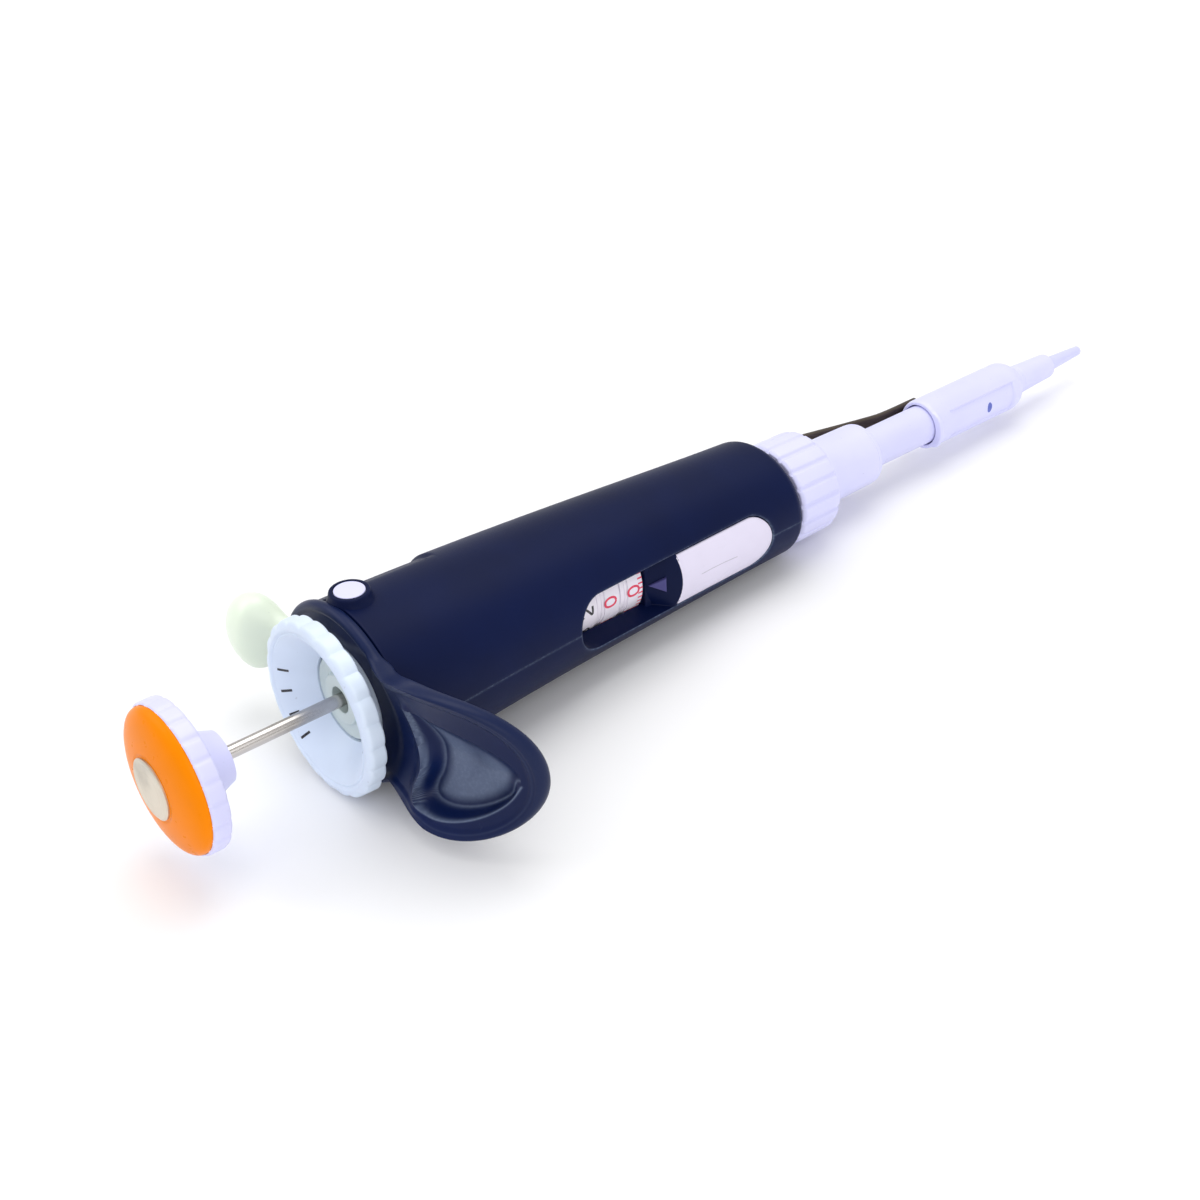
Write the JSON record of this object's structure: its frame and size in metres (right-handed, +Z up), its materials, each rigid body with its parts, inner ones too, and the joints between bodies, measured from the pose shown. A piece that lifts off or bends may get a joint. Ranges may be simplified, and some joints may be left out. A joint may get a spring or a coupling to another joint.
{
  "type": "micropipette",
  "caption": "Adjustable hand pipette lying on its flank: oval grip with finger hook, thumbwheel, plunger button, counter window, ejector and stepped tip holder.",
  "frame": {"origin": "middle of the bounding box, on the surface that the instrument lies on", "axes": "+X along the instrument from the button to the tip, +Z up, -Y towards the finger hook. The instrument lies on its flank, its axis 3.1 degrees down towards the tip"},
  "size_m": [0.2506, 0.0832, 0.0374],
  "materials": {
    "navy_plastic": "satin moulded plastic",
    "navy_gloss": "polished moulded plastic, worn at its edges",
    "white_plastic": "white moulded plastic",
    "orange_plastic": "glossy orange plastic",
    "knob_plastic": "off-white moulded plastic",
    "medallion_metal": "brushed plain disc",
    "steel": "polished rod steel",
    "dark_steel": "dull strip steel",
    "brass": "turned brass",
    "drum_plastic": "printed white plastic",
    "label": "bare write-on strip",
    "rubber": "black nitrile"
  },
  "bodies": {
    "handle": {"handle_shell_upper": "navy_plastic", "handle_shell_lower": "navy_plastic", "id_plug": "white_plastic", "window_frame": "navy_plastic", "label_strip": "label", "finger_hook": "navy_gloss", "counter_plate_upper": "white_plastic", "counter_plate_lower": "white_plastic", "counter_sleeve": "steel", "screw_nut": "brass", "handle_spigot": "brass", "tip_holder_body": "white_plastic", "tip_holder_tube": "white_plastic", "tip_nozzle": "white_plastic", "piston_seal": "white_plastic", "piston_o_ring": "rubber", "seal_retainer": "steel", "spring_seat": "steel", "blow_out_spring": "steel", "piston_spring": "steel", "ejector_spring": "steel"},
    "thumbwheel": {"thumbwheel_cup": "white_plastic", "thumbwheel_hub": "white_plastic", "adjusting_screw": "brass", "detent_wheel": "drum_plastic"},
    "plunger": {"button_cap": "orange_plastic", "button_body": "white_plastic", "button_medallion": "medallion_metal", "operating_rod": "steel", "stop_collar": "steel", "piston_head": "brass", "piston": "steel"},
    "units_drum": {"drum_units": "drum_plastic"},
    "tenths_drum": {"drum_tenths": "drum_plastic"},
    "hundredths_drum": {"drum_hundredths": "drum_plastic"},
    "ejector": {"ejector_knob": "knob_plastic", "ejector_bracket": "steel", "ejector_rod": "steel", "ejector_strip": "dark_steel", "ejector_sleeve": "white_plastic", "ejector_nose": "white_plastic"},
    "nut": {"coupling_nut": "white_plastic"}
  },
  "joints": [
    {"name": "thumbwheel_turn", "type": "hinge", "parent": "handle", "child": "thumbwheel", "pos_m": [-0.08409, 0.00338, 0.01818], "axis": [0.9985, 0, -0.0541], "range_deg": [0, 6480]},
    {"name": "plunger_press", "type": "slide", "parent": "thumbwheel", "child": "plunger", "axis": [0.9985, 0, -0.0541], "range_m": [0, 0.0195], "stiffness_N_per_m": 60, "springref_m": -0.004, "deforming": ["blow_out_spring", "piston_spring"]},
    {"name": "hundredths_turn", "type": "hinge", "parent": "handle", "child": "hundredths_drum", "pos_m": [-0.02, 0.00338, 0.01471], "axis": [0.9985, 0, -0.0541], "range_deg": [0, 6480]},
    {"name": "tenths_turn", "type": "hinge", "parent": "handle", "child": "tenths_drum", "pos_m": [-0.02, 0.00338, 0.01471], "axis": [0.9985, 0, -0.0541], "range_deg": [0, 648]},
    {"name": "units_turn", "type": "hinge", "parent": "handle", "child": "units_drum", "pos_m": [-0.02, 0.00338, 0.01471], "axis": [0.9985, 0, -0.0541], "range_deg": [0, 64.8]},
    {"name": "ejector_press", "type": "slide", "parent": "handle", "child": "ejector", "axis": [0.9985, 0, -0.0541], "range_m": [0, 0.008], "stiffness_N_per_m": 250, "springref_m": -0.004, "deforming": ["ejector_spring"]},
    {"name": "coupling_nut_turn", "type": "hinge", "parent": "handle", "child": "nut", "pos_m": [-0.08409, 0.00338, 0.01818], "axis": [0.9985, 0, -0.0541], "range_deg": [0, 1080]}
  ],
  "couplings": [
    {"joint": "hundredths_turn", "follows": "thumbwheel_turn", "ratio": 1},
    {"joint": "tenths_turn", "follows": "thumbwheel_turn", "ratio": 0.1},
    {"joint": "units_turn", "follows": "thumbwheel_turn", "ratio": 0.01}
  ]
}
